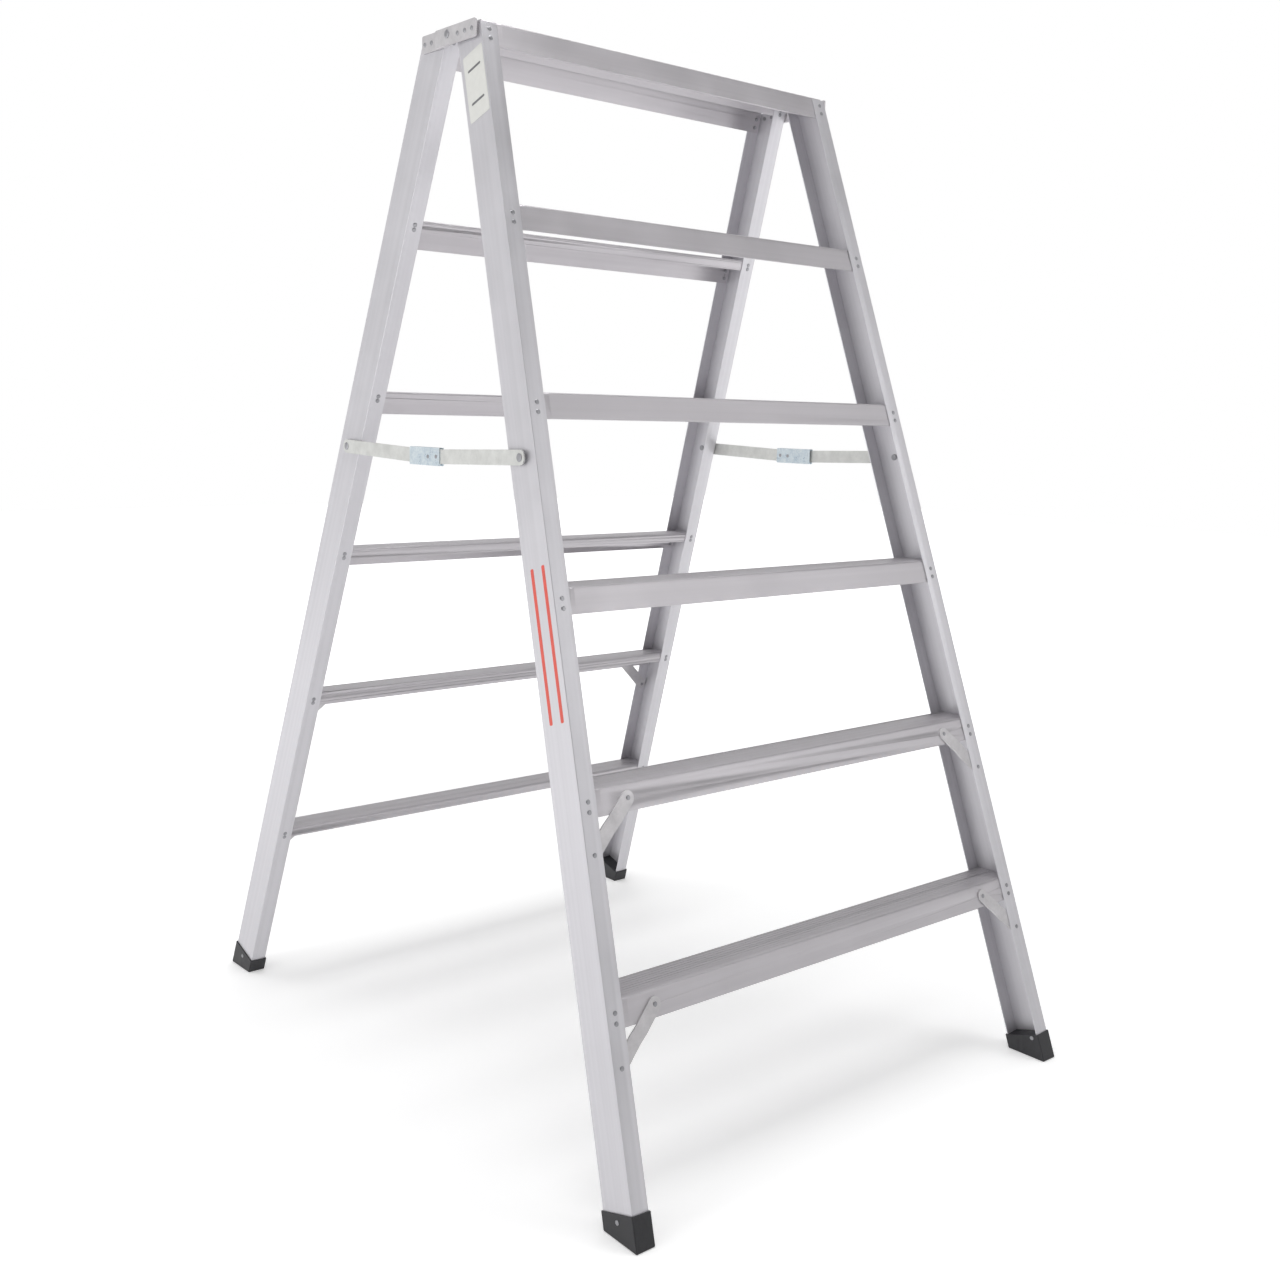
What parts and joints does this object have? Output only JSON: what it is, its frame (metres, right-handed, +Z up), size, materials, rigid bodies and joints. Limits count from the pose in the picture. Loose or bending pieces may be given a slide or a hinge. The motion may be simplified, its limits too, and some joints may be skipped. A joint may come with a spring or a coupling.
{
  "type": "double-sided trestle step ladder",
  "caption": "Folding aluminium double-sided trestle ladder with two splayed stepped frames hinged at the top, side spreader bars and black rubber feet.",
  "frame": {"origin": "on the floor under the middle of the open ladder", "axes": "+Z up, +X along the steps, +Y from the front frame towards the back frame"},
  "size_m": [1.0564, 1.3868, 1.84],
  "materials": {
    "stile_aluminium": "satin extruded",
    "step_aluminium": "satin extruded",
    "plate_aluminium": "satin rolled",
    "zinc": "bright zinc plated",
    "rivet_steel": "plain",
    "black_rubber": "moulded satin",
    "label_white": "blank off-white film"
  },
  "bodies": {
    "front_frame": {"front_brace_rivets": "rivet_steel", "front_foot_rivets": "rivet_steel", "front_hinge_rivets": "rivet_steel", "front_left_brace_1": "plate_aluminium", "front_left_brace_2": "plate_aluminium", "front_left_foot": "black_rubber", "front_left_stile": "stile_aluminium", "front_right_brace_1": "plate_aluminium", "front_right_brace_2": "plate_aluminium", "front_right_foot": "black_rubber", "front_right_stile": "stile_aluminium", "front_spreader_rivets": "rivet_steel", "front_spreader_washers": "rivet_steel", "front_step_1": "step_aluminium", "front_step_2": "step_aluminium", "front_step_3": "step_aluminium", "front_step_4": "step_aluminium", "front_step_5": "step_aluminium", "front_step_rivets": "rivet_steel", "front_top_rail": "step_aluminium", "hinge_washers": "rivet_steel", "label_plate": "label_white", "left_front_hinge_plate": "plate_aluminium", "left_hinge_pin": "rivet_steel", "right_front_hinge_plate": "plate_aluminium", "right_hinge_pin": "rivet_steel"},
    "back_frame": {"back_brace_rivets": "rivet_steel", "back_foot_rivets": "rivet_steel", "back_hinge_rivets": "rivet_steel", "back_left_brace_1": "plate_aluminium", "back_left_brace_2": "plate_aluminium", "back_left_foot": "black_rubber", "back_left_stile": "stile_aluminium", "back_right_brace_1": "plate_aluminium", "back_right_brace_2": "plate_aluminium", "back_right_foot": "black_rubber", "back_right_stile": "stile_aluminium", "back_spreader_rivets": "rivet_steel", "back_spreader_washers": "rivet_steel", "back_step_1": "step_aluminium", "back_step_2": "step_aluminium", "back_step_3": "step_aluminium", "back_step_4": "step_aluminium", "back_step_5": "step_aluminium", "back_step_rivets": "rivet_steel", "back_top_rail": "step_aluminium", "left_back_hinge_plate": "plate_aluminium", "right_back_hinge_plate": "plate_aluminium"},
    "left_front_spreader": {"left_front_clip_rivets": "rivet_steel", "left_front_spreader_bar": "plate_aluminium", "left_outer_spreader_clip": "zinc"},
    "left_back_spreader": {"left_back_clip_rivets": "rivet_steel", "left_back_spreader_bar": "plate_aluminium", "left_inner_spreader_clip": "zinc"},
    "right_front_spreader": {"right_front_clip_rivets": "rivet_steel", "right_front_spreader_bar": "plate_aluminium", "right_outer_spreader_clip": "zinc"},
    "right_back_spreader": {"right_back_clip_rivets": "rivet_steel", "right_back_spreader_bar": "plate_aluminium", "right_inner_spreader_clip": "zinc"}
  },
  "joints": [
    {"name": "frame_fold", "type": "hinge", "parent": "front_frame", "child": "back_frame", "pos_m": [0, 0, 1.829], "axis": [-1, 0, 0], "range_deg": [0, 36.4]},
    {"name": "left_front_spreader_fold", "type": "hinge", "parent": "front_frame", "child": "left_front_spreader", "pos_m": [-0.46, -0.283, 1.1373], "axis": [1, 0, 0], "range_deg": [0, 63]},
    {"name": "left_back_spreader_fold", "type": "hinge", "parent": "back_frame", "child": "left_back_spreader", "pos_m": [-0.4569, 0.283, 1.1373], "axis": [-1, 0, 0], "range_deg": [0, 63]},
    {"name": "right_front_spreader_fold", "type": "hinge", "parent": "front_frame", "child": "right_front_spreader", "pos_m": [0.46, -0.283, 1.1373], "axis": [1, 0, 0], "range_deg": [0, 63]},
    {"name": "right_back_spreader_fold", "type": "hinge", "parent": "back_frame", "child": "right_back_spreader", "pos_m": [0.4569, 0.283, 1.1373], "axis": [-1, 0, 0], "range_deg": [0, 63]}
  ],
  "couplings": [
    {"joint": "left_front_spreader_fold", "follows": "frame_fold", "ratio": 1.727},
    {"joint": "left_back_spreader_fold", "follows": "frame_fold", "ratio": 1.727},
    {"joint": "right_front_spreader_fold", "follows": "frame_fold", "ratio": 1.727},
    {"joint": "right_back_spreader_fold", "follows": "frame_fold", "ratio": 1.727}
  ]
}
